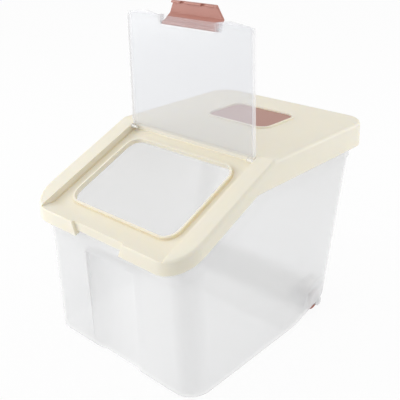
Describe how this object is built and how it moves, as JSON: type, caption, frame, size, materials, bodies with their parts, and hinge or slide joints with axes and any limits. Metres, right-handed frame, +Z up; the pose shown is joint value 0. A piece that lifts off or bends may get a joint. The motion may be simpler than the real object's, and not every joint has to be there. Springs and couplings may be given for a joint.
{
  "type": "rice bin with flip lid",
  "caption": "Translucent rice bin on two rear wheels with a cream sloping lid, a hinged clear flip lid with a pink latch, and a lift-out pocket cover.",
  "frame": {"origin": "centre of the bin's footprint on the floor", "axes": "+Z up, -Y towards the front with the flip lid's free side, +X to the right of someone who looks from behind the front, along +Y"},
  "size_m": [0.258, 0.347, 0.4017],
  "materials": {
    "milky_plastic": "translucent milky polypropylene, smooth",
    "cream_plastic": "opaque cream polypropylene, fine satin",
    "clear_plastic": "clear, faintly cloudy plastic",
    "latch_plastic": "dusty pink plastic, satin",
    "cover_plastic": "dusty pink plastic, satin",
    "pink_plastic": "dusty pink plastic",
    "pin_plastic": "pale plastic",
    "seal_rubber": "soft white silicone"
  },
  "bodies": {
    "tub": {"tub": "milky_plastic", "wheel_pin_left": "pin_plastic", "wheel_pin_right": "pin_plastic"},
    "wheel_left": {"wheel_left": "pink_plastic"},
    "wheel_right": {"wheel_right": "pink_plastic"},
    "main_lid": {"main_lid": "cream_plastic", "rim_seal": "seal_rubber", "hinge_pin_left": "pin_plastic", "hinge_pin_right": "pin_plastic"},
    "flip_lid": {"flip_lid": "clear_plastic"},
    "latch": {"latch": "latch_plastic", "latch_pin": "pin_plastic"},
    "pocket_cover": {"pocket_cover": "cover_plastic"}
  },
  "joints": [
    {"name": "wheel_left_spin", "type": "hinge", "parent": "tub", "child": "wheel_left", "pos_m": [-0.1073, 0.076, 0.014], "axis": [1, 0, 0], "continuous": true},
    {"name": "wheel_right_spin", "type": "hinge", "parent": "tub", "child": "wheel_right", "pos_m": [0.1073, 0.076, 0.014], "axis": [1, 0, 0], "continuous": true},
    {"name": "main_lid_lift", "type": "slide", "parent": "tub", "child": "main_lid", "axis": [0, 0, 1], "range_m": [0, 0.09]},
    {"name": "flip_lid_hinge", "type": "hinge", "parent": "main_lid", "child": "flip_lid", "pos_m": [0, -0.02992, 0.23497], "axis": [1, 0, 0], "range_deg": [0, 114.6]},
    {"name": "latch_swing", "type": "hinge", "parent": "flip_lid", "child": "latch", "pos_m": [0, -0.02232, 0.3755], "axis": [1, 0, 0], "range_deg": [0, 60]},
    {"name": "pocket_cover_lift", "type": "slide", "parent": "main_lid", "child": "pocket_cover", "axis": [0, 0, 1], "range_m": [0, 0.03]}
  ]
}
